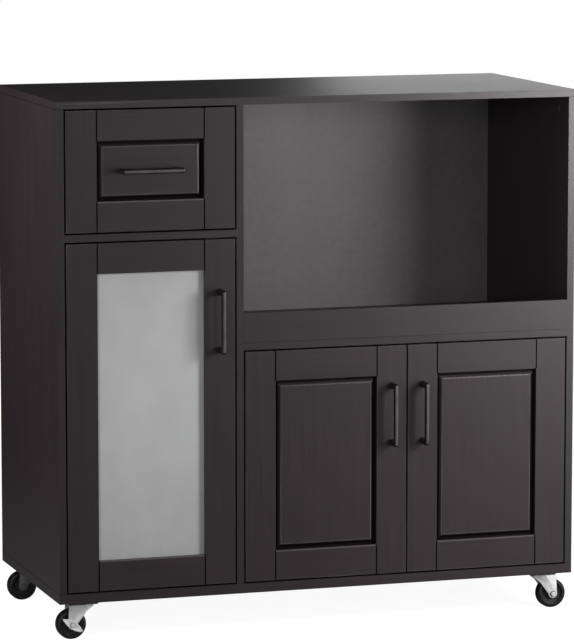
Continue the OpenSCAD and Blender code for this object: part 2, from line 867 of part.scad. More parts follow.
module castor_plate() {
    dome_d = race_d - 8;
    corner_r = 5;
    half = plate_side / 2;
    king_head_t = 2.5;
    king_foot = crown_z - king_head_t;
    head_gap = 0.05;
    color(zinc)
        difference() {
            union() {
                translate([-half + corner_r, -half, -plate_t])
                    cube([plate_side - 2 * corner_r, plate_side, plate_t]);
                translate([-half, -half + corner_r, -plate_t])
                    cube([plate_side, plate_side - 2 * corner_r, plate_t]);
                for (x = [-1, 1], y = [-1, 1])
                    translate([x * (half - corner_r), y * (half - corner_r), -plate_t])
                        cylinder(r = corner_r, h = plate_t);
                translate([0, 0, -plate_t - race_h]) cylinder(d1 = dome_d, d2 = race_d, h = race_h);
                translate([0, 0, king_foot]) cylinder(d = king_d, h = -king_foot - plate_t);
                translate([0, 0, king_foot]) cylinder(d = king_head_d, h = king_head_t - seat_gap);
            }
            at_plate_screws() translate([0, 0, -plate_t - eps])
                cylinder(d = plate_hole_d, h = plate_t + 2 * eps);
        }
    color(zinc)
        at_plate_screws() {
            translate([0, 0, -plate_t - castor_screw_head_h])
                cylinder(d = castor_screw_d, h = plate_t + castor_screw_head_h + castor_screw_l);
            translate([0, 0, -plate_t - castor_screw_head_h - head_gap])
                cylinder(d = castor_screw_head_d, h = castor_screw_head_h);
        }
}

module at_plate_screws() {
    for (x = [-1, 1], y = [-1, 1])
        translate([x * plate_pitch / 2, y * plate_pitch / 2, 0]) children();
}

// Side view of a fork leg: the skirt under the race tapers to a round eye about the axle
module leg_outline() {
    eye_r = axle_d / 2 + 4.5;
    drop = -axle_drop;
    skirt_foot = [-4, crown_z - 9];
    polygon([
        [-crown_back, crown_z + fork_t], [-crown_back, crown_z], skirt_foot,
        [trail - eye_r, drop], [trail + eye_r, drop], [crown_front, crown_z + fork_t]
    ]);
    translate([trail, drop]) circle(r = eye_r);
}

module castor_fork() {
    rivet_d = axle_d + 2.5;
    rivet_t = 1;
    rivet_y = lever_in + lever_t + seat_gap;
    color(zinc)
        difference() {
            union() {
                for (side = [-1, 1])
                    translate([0, side > 0 ? leg_out : -leg_in, 0]) rotate([90, 0, 0])
                        linear_extrude(fork_t) leg_outline();
                translate([0, 0, crown_z]) cylinder(r = crown_back, h = fork_t);
                translate([-crown_back, -leg_out, crown_z])
                    cube([crown_back + crown_front, 2 * leg_out, fork_t]);
                translate([trail, 0, -axle_drop]) {
                    rod_y(axle_d, -rivet_y - rivet_t, rivet_y + rivet_t);
                    rod_y(rivet_d, rivet_y, rivet_y + rivet_t);
                    rod_y(rivet_d, -rivet_y - rivet_t, -rivet_y);
                }
            }
            translate([0, 0, crown_z - eps]) cylinder(d = king_d + 2 * castor_fit, h = fork_t + 2 * eps);
        }
}

module castor_wheel() {
    r = wheel_d / 2;
    bore = axle_d / 2 + castor_fit;
    dish = 4;
    hub_r = axle_d / 2 + 6;
    rim_r = r - tread_r - 2;
    color(tyre_black)
        translate([trail, 0, -axle_drop]) rotate([90, 0, 0])
            rotate_extrude($fn = 64)
                difference() {
                    union() {
                        translate([bore, -hub_w / 2]) square([hub_r - bore, hub_w]);
                        translate([bore, -wheel_w / 2]) square([r - tread_r - bore, wheel_w]);
                        translate([bore, -wheel_w / 2 + tread_r]) square([r - bore, wheel_w - 2 * tread_r]);
                        for (side = [-1, 1])
                            translate([r - tread_r, side * (wheel_w / 2 - tread_r)]) circle(r = tread_r);
                    }
                    for (y = [wheel_w / 2 - dish, -wheel_w / 2 - eps])
                        translate([hub_r, y]) square([rim_r - hub_r, dish + eps]);
                }
}

// Boat-shaped lever on the axle, outside the outer leg, with a rim turned out along its lower edge
module brake_lever() {
    bow = (pow(lever_l / 2, 2) + pow(lever_w / 2, 2)) / lever_w;
    color(zinc)
        translate([trail, lever_in, -axle_drop]) rotate([0, -lever_tilt, 0]) rotate([-90, 0, 0])
            difference() {
                union() {
                    linear_extrude(lever_t) lever_outline(bow, 0);
                    linear_extrude(lever_rim) difference() {
                        lever_outline(bow, 0);
                        translate([0, -lever_t / 2]) lever_outline(bow, -lever_t / 2);
                        translate([-lever_l, -2 * lever_w]) square([2 * lever_l, 2 * lever_w + 1]);
                    }
                }
                translate([0, 0, -eps]) cylinder(d = axle_d + 2 * castor_fit, h = lever_rim + 2 * eps);
            }
}

module lever_outline(bow, grow) {
    intersection_for(side = [-1, 1])
        translate([0, side * (bow - lever_w / 2)]) circle(r = bow + grow, $fn = 96);
}

// ---- What the nodes draw ----

module door_frame_with_bores(at, w, h, inset, flip, handle_at) {
    color(espresso)
        difference() {
            translate(at) panel_frame(w, h);
            hinge_side(at, w, flip) at_hinges(at, h, inset) cup_bore();
            translate(handle_at) handle_screw_bores(-eps, front_t + eps, handle_screw_d + screw_play);
        }
}

// Puts what is drawn for a left-hung door on the right edge instead
module hinge_side(at, w, flip) {
    middle = at.x + w / 2;
    if (flip)
        translate([middle, 0, 0]) mirror([1, 0, 0]) translate([-middle, 0, 0]) children();
    else
        children();
}

top_board();
bottom_board();
upright(left_x - side_t);  // side_panel_left
upright(right_x);  // side_panel_right
upright(divider_x0);  // divider_panel
drawer_shelf();
niche_shelf();
niche_lip_rail();
back_panel(left_x, divider_x0);  // back_panel_left
back_panel(divider_x1, right_x);  // back_panel_right
loose_shelf(left_x, divider_x0, left_shelf_z);  // shelf_left
loose_shelf(divider_x1, right_x, right_shelf_z);  // shelf_right
shelf_pins();
cam_fittings();
magnetic_catches();
cabinet_runner();  // cabinet_runner_left
mirror_drawer() cabinet_runner();  // cabinet_runner_right
at_hinges(glass_door_at, glass_door_h, glass_hinge_inset) hinge_arm();  // hinge_arms_glass_door
at_hinges(left_door_at, pair_door_h, pair_hinge_inset) hinge_arm();  // hinge_arms_left_door
hinge_side(right_door_at, pair_door_w, true)  // hinge_arms_right_door
        at_hinges(right_door_at, pair_door_h, pair_hinge_inset) hinge_arm();
for (c = CASTORS) at_castor(c) castor_plate();  // castor_plates
color(espresso) translate(drawer_front_at) panel_frame(drawer_front_w, drawer_front_h);  // drawer_front_frame
difference() {  // drawer_front_panel
        translate(drawer_front_at) raised_panel(drawer_front_w, drawer_front_h);
        translate(drawer_handle_at) rotate([0, 90, 0])
            handle_screw_bores(-eps, front_t + eps, handle_screw_d + screw_play);
    }
drawer_side();  // drawer_side_left
mirror_drawer() drawer_side();  // drawer_side_right
drawer_back();
drawer_bottom();
drawer_runner();  // drawer_runner_left
mirror_drawer() drawer_runner();  // drawer_runner_right
translate(drawer_handle_at + [0, field_drop, 0]) rotate([0, 90, 0]) handle(panel_back - field_drop);  // drawer_handle
color(espresso) difference() {  // glass_door_frame
        translate(glass_door_at) glass_frame(glass_door_w, glass_door_h);
        at_hinges(glass_door_at, glass_door_h, glass_hinge_inset) cup_bore();
        translate(glass_handle_at) handle_screw_bores(-eps, front_t + eps, handle_screw_d + screw_play);
    }
glass_pane();
glass_beads();
translate(glass_handle_at) handle(front_t);  // glass_door_handle
union() {  // glass_door_fittings
    at_hinges(glass_door_at, glass_door_h, glass_hinge_inset) hinge_cup();
    strike_plate(catch_x(glass_door_at, glass_door_w, 1), drawer_shelf_under);
}
door_frame_with_bores(left_door_at, pair_door_w, pair_door_h, pair_hinge_inset, false, left_handle_at);  // left_door_frame
translate(left_door_at) raised_panel(pair_door_w, pair_door_h);  // left_door_panel
translate(left_handle_at) handle(front_t);  // left_door_handle
union() {  // left_door_fittings
    at_hinges(left_door_at, pair_door_h, pair_hinge_inset) hinge_cup();
    strike_plate(catch_x(left_door_at, pair_door_w, 1), niche_shelf_under);
}
door_frame_with_bores(right_door_at, pair_door_w, pair_door_h, pair_hinge_inset, true, right_handle_at);  // right_door_frame
translate(right_door_at) raised_panel(pair_door_w, pair_door_h);  // right_door_panel
translate(right_handle_at) handle(front_t);  // right_door_handle
union() {  // right_door_fittings
    hinge_side(right_door_at, pair_door_w, true)
        at_hinges(right_door_at, pair_door_h, pair_hinge_inset) hinge_cup();
    strike_plate(catch_x(right_door_at, pair_door_w, -1), niche_shelf_under);
}
translate([0, front_roller_at_y, roller_z]) roller(front_roller_x);  // cabinet_roller_left
mirror_drawer() translate([0, front_roller_at_y, roller_z]) roller(front_roller_x);  // cabinet_roller_right
translate([0, rear_roller_at_y, roller_z]) roller(rear_roller_x);  // drawer_roller_left
mirror_drawer() translate([0, rear_roller_at_y, roller_z]) roller(rear_roller_x);  // drawer_roller_right
at_castor(FRONT_LEFT) castor_fork();  // castor_fork_front_left
at_castor(FRONT_RIGHT) castor_fork();  // castor_fork_front_right
at_castor(REAR_LEFT) castor_fork();  // castor_fork_rear_left
at_castor(REAR_RIGHT) castor_fork();  // castor_fork_rear_right
at_castor(FRONT_LEFT) castor_wheel();  // castor_wheel_front_left
at_castor(FRONT_RIGHT) castor_wheel();  // castor_wheel_front_right
at_castor(REAR_LEFT) castor_wheel();  // castor_wheel_rear_left
at_castor(REAR_RIGHT) castor_wheel();  // castor_wheel_rear_right
at_castor(FRONT_LEFT) brake_lever();  // brake_lever_front_left
at_castor(REAR_RIGHT) brake_lever();  // brake_lever_rear_right
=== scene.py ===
"""Microwave stand with drawer: finishes, softened edges, floor, light and camera."""
import json
import math

import bmesh
import bpy
from mathutils import Euler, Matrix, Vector

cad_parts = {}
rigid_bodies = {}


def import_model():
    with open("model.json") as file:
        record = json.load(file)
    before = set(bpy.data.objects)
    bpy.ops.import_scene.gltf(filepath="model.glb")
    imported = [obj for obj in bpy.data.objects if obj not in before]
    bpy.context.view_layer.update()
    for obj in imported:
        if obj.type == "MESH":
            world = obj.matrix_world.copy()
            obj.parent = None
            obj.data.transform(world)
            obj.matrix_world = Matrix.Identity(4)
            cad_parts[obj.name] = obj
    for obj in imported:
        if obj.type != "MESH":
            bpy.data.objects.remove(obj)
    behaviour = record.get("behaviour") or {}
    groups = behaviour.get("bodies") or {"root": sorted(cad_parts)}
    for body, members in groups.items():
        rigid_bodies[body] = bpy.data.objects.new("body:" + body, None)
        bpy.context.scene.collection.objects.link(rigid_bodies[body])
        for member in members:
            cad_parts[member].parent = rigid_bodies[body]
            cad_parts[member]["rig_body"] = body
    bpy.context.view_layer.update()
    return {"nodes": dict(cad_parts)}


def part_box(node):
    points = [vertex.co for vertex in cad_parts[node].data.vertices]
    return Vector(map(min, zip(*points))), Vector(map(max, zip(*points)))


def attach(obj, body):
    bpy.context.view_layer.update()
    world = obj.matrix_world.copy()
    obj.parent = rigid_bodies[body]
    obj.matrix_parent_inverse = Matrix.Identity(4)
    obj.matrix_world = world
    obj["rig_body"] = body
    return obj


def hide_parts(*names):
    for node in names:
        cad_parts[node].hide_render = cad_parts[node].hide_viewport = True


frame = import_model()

NODES = frame["nodes"]

# Camera, fitted to the photograph's corners of the cabinet: metres, degrees, pixels and millimetres
CAMERA_AT = (-2.040, -6.408, 1.399)
CAMERA_YAW = 17.66
CAMERA_PITCH = 7.67
FOCAL_PX = 3983
IMAGE_W_PX = 574
SENSOR_MM = 36.0
CAMERA_REACH = 60

# Floor: its radius, the sides of its disc, its own tone and the white that the camera sees added to it
FLOOR_R = 1.6
FLOOR_SIDES = 96
FLOOR_TONE = 0.28
FLOOR_GLOW = 0.93

# World: its light on the object, and what shows in the gloss, from the dark side to the bright one
DIFFUSE_LEVEL = 0.08
MIRRORED_LEVEL = 0.43
BRIGHT_SIDE = (0.97, -0.20, 0.10)
MIRRORED_TONES = ((0.50, 0.04), (0.68, 0.20), (0.84, 1.0))

LAMPS = (  # Name, place, what it points at, size and power in watts
    ("key lamp", (0.86, -0.93, 0.82), (0.27, -0.18, 0.45), (0.4, 0.4), 11.3),
    ("low lamp", (1.20, -1.30, 0.35), (0.30, -0.18, 0.45), (0.6, 0.5), 4.1),
    ("front lamp", (0.60, -2.60, 0.80), (0.10, 0.20, 0.70), (0.5, 0.4), 2.2),
    ("fill lamp", (-2.60, -3.40, 1.30), (-0.30, -0.20, 0.45), (0.8, 0.8), 36.0),
    ("side lamp", (-1.15, -0.12, 1.00), (-0.45, 0, 0.55), (0.5, 0.5), 9.0),
    ("back lamp", (2.05, 3.80, 1.25), (0.40, 0, 0.89), (1.4, 0.9), 14.7),
)
UNMIRRORED = "side lamp"  # It would show in the gloss of the top as a white patch, seen from the right

# Sizes that the finishes follow, in metres
STILE_W = 0.052
RAIL_W = 0.050
JOINT_HALF = 0.0011  # Half of the dark line between a rail and a stile
SEAM = 0.0009  # Dark line at both ends of a side
ARRIS = 0.0010  # Width of the painted highlight along a frame's edges
TOP_ARRIS = 0.0008  # Width of the painted highlight along the top's front edge
LEDGE = 0.0022  # Painted highlight along the top of a lower rail
RIVET_R = 0.0040
RIVET_RIM = 0.0012

# The raised panels
FIELD_DROP = 0.0025  # How far the field lies behind the frame's face
MARGIN_DROP = 0.008  # How far the sunk margin lies behind it
MARGIN_SLACK = 0.001  # The shade ends this far behind the margin
MARGIN_W = 0.010  # How wide the margin is taken to be, for the shade
FIELD_ARRIS = (0.00003, 0.0009)  # Painted highlight along the field's edge, between these distances below it
SHADE_DEPTHS_ABOVE = (0.0020, 0.0054)  # Depths below the field between which the painted shade deepens
SHADE_DEPTHS_LEFT = (0.0008, 0.0048)
SHADE_DEPTHS_ELSEWHERE = (0.0006, 0.0024)

# The handles
HANDLE_HALF = 0.0040  # Half of the bar's width
HANDLE_REACH = 0.027  # How far they stand out from the wood
HANDLE_HIGHLIGHT_DEPTHS = (0.0001, 0.0005)  # Depths behind their front between which the painted highlight fades out

# Widths of the softened edges
EASED_BOARD = 0.0006
EASED_FIELD = 0.0009
EASED_METAL = 0.0003
EASED_WHEEL = 0.0004
HANDLE_ROUND = 0.0030

# Limits for cleaning and easing a shape
SNAP = 1e-5  # Points nearer to each other than this are one
OFF_THE_WOOD = 1e-4  # Edges of a handle nearer to the wood than this stay sharp
FLAT = math.radians(0.5)  # Faces that meet at less than this are one
SHARP_BOARD = math.radians(30)  # Edges sharper than this are eased on a board
SHARP_METAL = math.radians(35)  # Edges sharper than this are eased on a handle or castor

# The pane's painted light: the share of its height at which it is palest, and how fast it darkens from there
GLASS_PAINTED_LIGHT_AT = 0.6
GLASS_PAINTED_LIGHT_FALL = 1.4

# How dark the lines and the painted shade of the margins are, and how strong the painted highlights along the
# edges are
SEAM_SHADE = 0.8
MARGIN_SHADE = 0.85
TOP_EDGE_HIGHLIGHT = 0.45
OUTER_ARRIS_HIGHLIGHT = 0.7
OPENING_ARRIS_HIGHLIGHT = 0.4
LEDGE_HIGHLIGHT = 1.4

# Colours of the finishes, from dark to light, each with its place on the ramp
STAIN = (  # The last one is the paler stain of the painted highlights along edges
    (0.1, (0.0190, 0.0144, 0.0162)),
    (0.45, (0.0262, 0.0200, 0.0226)),
    (0.8, (0.0355, 0.0276, 0.0308)),
    (1.0, (0.1000, 0.0840, 0.0900)),
)
HARDBOARD = ((0.0, (0.122, 0.112, 0.115)), (1.0, (0.158, 0.146, 0.149)))
ETCHED_GLASS = (
    (0.0, (0.364, 0.366, 0.368)),
    (0.5, (0.485, 0.487, 0.490)),
    (1.0, (0.598, 0.600, 0.600)),
)
HANDLE_BLACK = (  # The last one is the painted highlight along the front
    (0.0, (0.006, 0.005, 0.005)),
    (0.3, (0.010, 0.009, 0.009)),
    (1.0, (0.110, 0.099, 0.102)),
)
WHEEL_BLACK = ((0.0, (0.005, 0.005, 0.005)), (1.0, (0.012, 0.011, 0.012)))
PALE_COAT = ((0.0, (0.58, 0.58, 0.55)), (1.0, (0.68, 0.68, 0.65)))
CATCH_BLACK = ((0.0, (0.012, 0.012, 0.012)), (1.0, (0.022, 0.022, 0.022)))
JOINT_SHADE = (0.0030, 0.0025, 0.0027)  # Dark lines and seams, and the painted shade of the margins, without a ramp

# Tones of the zinc: round a rivet, and then dull and clean for each piece; the darker tones of the rear forks
# and castor plates are painted shade
ZINC_STOPS = (0.0, 0.2, 1.0)  # Places of the three tones on the ramp
RIVET_TONE = 0.05
BRIGHT_ZINC = (0.74, 0.90)
SHADED_ZINC = (0.12, 0.20)
CAST_ZINC = (0.07, 0.12)
SHADE_DARKENED_ZINC = (0.06, 0.11)


# ---- Shader maths ----

class Value:
    """A node's output. On a number, Python's operators add Math nodes."""

    def __init__(self, shader, socket):
        self.shader = shader
        self.socket = socket

    def _with(self, operation, *values):
        return self.shader.node("Math", {"operation": operation}, dict(enumerate(values)))

    def __add__(self, other):
        return self._with("ADD", self, other)

    def __sub__(self, other):
        return self._with("SUBTRACT", self, other)

    def __mul__(self, other):
        return self._with("MULTIPLY", self, other)

    def __gt__(self, other):
        return self._with("GREATER_THAN", self, other)

    def __lt__(self, other):
        return self._with("LESS_THAN", self, other)

    def __rsub__(self, other):
        return self._with("SUBTRACT", other, self)

    __radd__ = __add__
    __rmul__ = __mul__

    def between(self, low, high):
        """Rises from 0 at low to 1 at high, and is held at both ends."""
        return self.shader.node("MapRange", {"clamp": True}, {0: self, 1: low, 2: high})

    def within(self, low, high):
        """1 from low to high, and 0 outside."""
        return (self > low) * (self < high)


class Shader:
    """One material and its node tree."""

    def __init__(self, name):
        self.material = bpy.data.materials.new(name)
        self.material.use_nodes = True
        self.tree = self.material.node_tree
        self.surface = self.tree.nodes["Principled BSDF"]

    def node(self, kind, settings=None, sockets=None, output=0):
        """Adds a node, sets its settings and then the values or links of its sockets."""
        made = self.tree.nodes.new("ShaderNode" + kind)
        for key, setting in (settings or {}).items():
            if key == "stops":
                ramp = made.color_ramp.elements
                while len(ramp) < len(setting):
                    ramp.new(1.0)
                for stop, (place, colour) in zip(ramp, setting):
                    stop.position = place
                    stop.color = colour
            else:
                setattr(made, key, setting)
        for key, value in (sockets or {}).items():
            self.feed(made.inputs[key], value)
        return Value(self, made.outputs[output])

    def feed(self, socket, value):
        """Links a socket to a Value, or sets it to a plain number or colour."""
        if isinstance(value, Value):
            self.tree.links.new(value.socket, socket)
        else:
            socket.default_value = value

    def place(self):
        """The point on the object, in metres."""
        return self.node("TexCoord", output="Object")

    def axes(self):
        """The x, y and z of the point on the object."""
        split = self.node("SeparateXYZ", {}, {"Vector": self.place()}).socket.node
        return [Value(self, split.outputs[axis]) for axis in "XYZ"]

    def noise(self, vector, scale=1.0, detail=3.0, roughness=0.5, distortion=0.0):
        """Noise over a vector, about 0.5 on average."""
        return self.node("TexNoise", {}, {
            "Vector": vector,
            "Scale": scale,
            "Detail": detail,
            "Roughness": roughness,
            "Distortion": distortion,
        })

    def speckle(self, scale, detail=3.0):
        """Noise with the same scale, per metre, along every axis."""
        return self.noise(self.place(), scale, detail)

    def stretched(self, scales, scale=1.0, detail=3.0, roughness=0.5, distortion=0.0):
        """Noise with a scale, per metre, for each axis."""
        mapped = self.node("Mapping", {}, {"Vector": self.place(), "Scale": scales})
        return self.noise(mapped, scale, detail, roughness, distortion)

    def colours(self, factor, *stops):
        """A colour ramp whose stops are each a place and a colour."""
        return self.node("ValToRGB", {"stops": [(p, (*c, 1.0)) for p, c in stops]}, {"Fac": factor})

    def bump(self, height, distance, strength):
        return self.node("Bump", {}, {"Height": height, "Distance": distance, "Strength": strength})

    def own_surface(self):
        return Value(self, self.surface.outputs[0])

    def cover(self, factor, other):
        """Shows another surface in place of the Principled shader where factor is 1."""
        mixed = self.node("MixShader", {}, {0: factor, 1: self.own_surface(), 2: other})
        self.feed(self.tree.nodes["Material Output"].inputs["Surface"], mixed)

    def set(self, **values):
        """Sets or links the main node's sockets, named with underscores for spaces."""
        for name, value in values.items():
            self.feed(self.surface.inputs[name.replace("_", " ")], value)
        return self.material


# ---- Finishes ----

GRAIN = {  # Scale of the streaks, per metre, for boards whose grain runs along each axis
    "x": (5.0, 260.0, 330.0),
    "y": (330.0, 5.0, 260.0),
    "z": (330.0, 260.0, 5.0),
}
PORES = {  # Scale of the fine pores, in the same way
    "x": (28.0, 900.0, 1100.0),
    "y": (1100.0, 28.0, 900.0),
    "z": (1100.0, 900.0, 28.0),
}


def wood_finish(shader, streaks, pores, shade=None, painted_highlight=None):
    """Near-black stain under a satin lacquer, with fine low grain.

    The wood is dull and nearly black where shade is 1, and its stain turns paler, a painted highlight, where
    the highlight mask is 1.
    """
    clouds = shader.speckle(3.5, detail=2.0)
    tone = (streaks * 0.5 + pores * 0.25 + clouds * 0.25).between(0.34, 0.66) * 0.5 + 0.2
    if painted_highlight is not None:
        tone = tone + painted_highlight * 0.5
    if shade is not None:
        dark_lines_and_shade = shader.node("BsdfDiffuse", {}, {"Color": (*JOINT_SHADE, 1.0), "Roughness": 1.0})
        shader.cover(shade, dark_lines_and_shade)
    relief = streaks * 0.55 + pores * 0.45
    return shader.set(
        Base_Color=shader.colours(tone, *STAIN),
        Roughness=0.34 + 0.16 * streaks,
        Specular_IOR_Level=0.42,
        Normal=shader.bump(relief, distance=0.0002, strength=0.28))


def grain(shader, axis):
    """The streaks and the pores of a board whose grain runs along an axis."""
    streaks = shader.stretched(GRAIN[axis], detail=4.0, roughness=0.6, distortion=0.15)
    pores = shader.stretched(PORES[axis], detail=2.0)
    return streaks, pores


def stained_wood(name, axis):
    """Boards with their grain along one axis."""
    shader = Shader(name)
    return wood_finish(shader, *grain(shader, axis))


def worktop_wood(name, node):
    """The top board, with a painted highlight along its front edge."""
    shader = Shader(name)
    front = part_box(node)[0].y
    y = shader.axes()[1]
    return wood_finish(shader, *grain(shader, "x"), painted_highlight=TOP_EDGE_HIGHLIGHT * (y < front + TOP_ARRIS))


def upright_wood(name, node):
    """An upright, with the fine dark seams where it stands between the top and the bottom board."""
    shader = Shader(name)
    low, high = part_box(node)
    z = shader.axes()[2]
    seams = (z < low.z + SEAM) + (z > high.z - SEAM)
    return wood_finish(shader, *grain(shader, "z"), shade=seams * SEAM_SHADE)


def panel_wood(name, frame_name, axis):
    """A raised panel: painted shade darkens the sunk margin, and a painted highlight runs along the field's
    arris.

    Down the bevels above the field and to its left the painted shade deepens later than down the other two.
    """
    shader = Shader(name)
    low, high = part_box(frame_name)
    x, y, z = shader.axes()
    field = low.y + FIELD_DROP

    def deepens(depths):
        return y.between(field + depths[0], field + depths[1])

    above = z > high.z - RAIL_W - MARGIN_W
    left = (x < low.x + STILE_W + MARGIN_W) * (1.0 - above)
    elsewhere = 1.0 - above - left
    # Painted shade in the sunk margin, deepening later above and to the left of the field
    painted_margin_shade = (above * deepens(SHADE_DEPTHS_ABOVE)
             + left * deepens(SHADE_DEPTHS_LEFT)
             + elsewhere * deepens(SHADE_DEPTHS_ELSEWHERE))
    in_front = y < low.y + MARGIN_DROP + MARGIN_SLACK
    arris = y.within(field + FIELD_ARRIS[0], field + FIELD_ARRIS[1])
    return wood_finish(
        shader, *grain(shader, axis), shade=painted_margin_shade * in_front * MARGIN_SHADE, painted_highlight=arris)


def framed_wood(name, node):
    """A frame: the grain runs up the stiles at both ends and along the rails between them.

    Its outer arrises, and those of the opening at the sides and below, carry a painted highlight: their stain
    is paler.
    """
    shader = Shader(name)
    low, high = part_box(node)
    x, y, z = shader.axes()
    left_joint, right_joint = low.x + STILE_W, high.x - STILE_W
    sill, head = low.z + RAIL_W, high.z - RAIL_W
    on_stile = (x < left_joint) + (x > right_joint)
    on_rail = 1.0 - on_stile
    beside_opening = z.within(sill, head)
    joints = sum(x.within(at - JOINT_HALF, at + JOINT_HALF) for at in (left_joint, right_joint))
    outer = (x < low.x + ARRIS) + (x > high.x - ARRIS) + (z < low.z + ARRIS) + (z > high.z - ARRIS)
    inner = x.within(left_joint - ARRIS, right_joint + ARRIS) * on_stile * beside_opening
    ledge = z.within(sill - LEDGE, sill + ARRIS) * on_rail
    # Painted highlights along the outer arrises, the opening's sides and the top of the lower rail
    painted_highlight = OUTER_ARRIS_HIGHLIGHT * outer + OPENING_ARRIS_HIGHLIGHT * inner + LEDGE_HIGHLIGHT * ledge
    upright, level = grain(shader, "z"), grain(shader, "x")
    streaks, pores = (up * on_stile + along * on_rail for up, along in zip(upright, level))
    return wood_finish(
        shader, streaks, pores, shade=joints * (1.0 - beside_opening), painted_highlight=painted_highlight * (y < low.y + ARRIS))


def hardboard():
    """Thin board with a paler printed face than the stained wood."""
    shader = Shader("grey faced hardboard")
    fibres = shader.stretched((90, 90, 90), detail=4.0)
    blotches = shader.speckle(6.0)
    tone = (fibres * 0.5 + blotches * 0.5).between(0.35, 0.65)
    return shader.set(
        Base_Color=shader.colours(tone, *HARDBOARD),
        Roughness=0.5 + 0.15 * fibres,
        Normal=shader.bump(fibres, distance=0.0001, strength=0.4))


def frosted_glass():
    """Etched pane: grey and finely clouded, with painted light palest a little above its middle and painted
    shade darker to the right.
    """
    shader = Shader("frosted glass")
    clouds = shader.stretched((1.0, 1.0, 0.7), scale=16.0, detail=6.0, roughness=0.6)
    grit = shader.speckle(900.0, detail=2.0)
    low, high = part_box("glass_pane")
    x, y, z = shader.axes()
    side = x.between(low.x, high.x)
    rise = z.between(low.z, high.z)
    from_painted_light = rise - GLASS_PAINTED_LIGHT_AT
    painted_light = 1.0 - from_painted_light * from_painted_light * GLASS_PAINTED_LIGHT_FALL
    # Painted light palest a little above the middle, and painted shade darker to the right
    tone = (clouds * 0.4 + painted_light * 0.6 - side * 0.12).between(0.25, 0.90)
    return shader.set(
        Base_Color=shader.colours(tone, *ETCHED_GLASS),
        Roughness=0.46 + 0.1 * grit,
        Specular_IOR_Level=0.4,
        Normal=shader.bump(grit, distance=0.00005, strength=0.5))


def satin_black_metal(name, face_y):
    """A handle: black lacquer, with a painted highlight: paler along the middle of its front."""
    shader = Shader(name)
    orange_peel = shader.speckle(700.0, detail=2.0)
    wear = shader.speckle(40.0, detail=4.0)
    y = shader.axes()[1]
    # Painted highlight along the middle of the front
    front_highlight = 1.0 - y.between(face_y + HANDLE_HIGHLIGHT_DEPTHS[0], face_y + HANDLE_HIGHLIGHT_DEPTHS[1])
    tone = wear.between(0.35, 0.7) * 0.3 + front_highlight * 0.7
    return shader.set(
        Base_Color=shader.colours(tone, *HANDLE_BLACK),
        Roughness=0.30 + 0.1 * wear,
        Normal=shader.bump(orange_peel, distance=0.00004, strength=0.5))


def zinc_plate(name, tones, rivet_at=None):
    """Plating with a faint crystal pattern, duller in patches, and dark round the rivet of an axle."""
    shader = Shader(name)
    spangle = shader.speckle(120.0)
    scratches = shader.stretched((60, 60, 900))
    dull = shader.speckle(30.0)
    tone = (spangle * 0.6 + dull * 0.4).between(0.35, 0.7) * 0.8 + 0.2
    if rivet_at is not None:
        x, y, z = shader.axes()
        across = x - rivet_at.x
        up = z - rivet_at.z
        ring = (across * across + up * up).within(RIVET_R ** 2, (RIVET_R + RIVET_RIM) ** 2)
        tone = tone * (1.0 - ring)
    greys = [(grey, grey, grey) for grey in (RIVET_TONE, *tones)]
    return shader.set(
        Base_Color=shader.colours(tone, *zip(ZINC_STOPS, greys)),
        Metallic=0.3 + 0.3 * dull,
        Roughness=0.26 + 0.2 * spangle,
        Normal=shader.bump(scratches, distance=0.00004, strength=0.4))


def wheel_rubber():
    """A moulded black wheel with a little dust."""
    shader = Shader("black wheel")
    mould = shader.speckle(220.0)
    dust = shader.speckle(25.0)
    return shader.set(
        Base_Color=shader.colours(dust.between(0.4, 0.75), *WHEEL_BLACK),
        Roughness=0.36 + 0.2 * dust,
        Normal=shader.bump(mould, distance=0.0001, strength=0.3))


def pale_coat(name, roughness):
    """Epoxy coat of the runners and moulded nylon of the rollers."""
    shader = Shader(name)
    speckle = shader.speckle(350.0)
    return shader.set(
        Base_Color=shader.colours(speckle.between(0.3, 0.7), *PALE_COAT),
        Roughness=roughness + 0.1 * speckle,
        Normal=shader.bump(speckle, distance=0.00005, strength=0.4))


def catch_plastic():
    """Finely textured black plastic of the catches."""
    shader = Shader("black moulded plastic")
    texture = shader.speckle(800.0, detail=2.0)
    return shader.set(
        Base_Color=shader.colours(texture.between(0.3, 0.7), *CATCH_BLACK),
        Roughness=0.5 + 0.15 * texture,
        Normal=shader.bump(texture, distance=0.0001, strength=0.4))


# ---- Dressing of the nodes ----

def spoken(name):
    """A node's name as plain words."""
    return name.replace("_", " ")


def finish_node(name, material):
    """Gives a node its material."""
    slots = NODES[name].data.materials
    slots.clear()
    slots.append(material)


def ease_edges(name, width=EASED_BOARD, segments=2):
    """Breaks the sharp edges of a board, as a sander leaves them."""
    weld = NODES[name].modifiers.new("weld", "WELD")
    weld.merge_threshold = SNAP
    bevel = NODES[name].modifiers.new("eased edges", "BEVEL")
    bevel.width = width
    bevel.segments = segments
    bevel.limit_method = "ANGLE"
    bevel.angle_limit = SHARP_BOARD


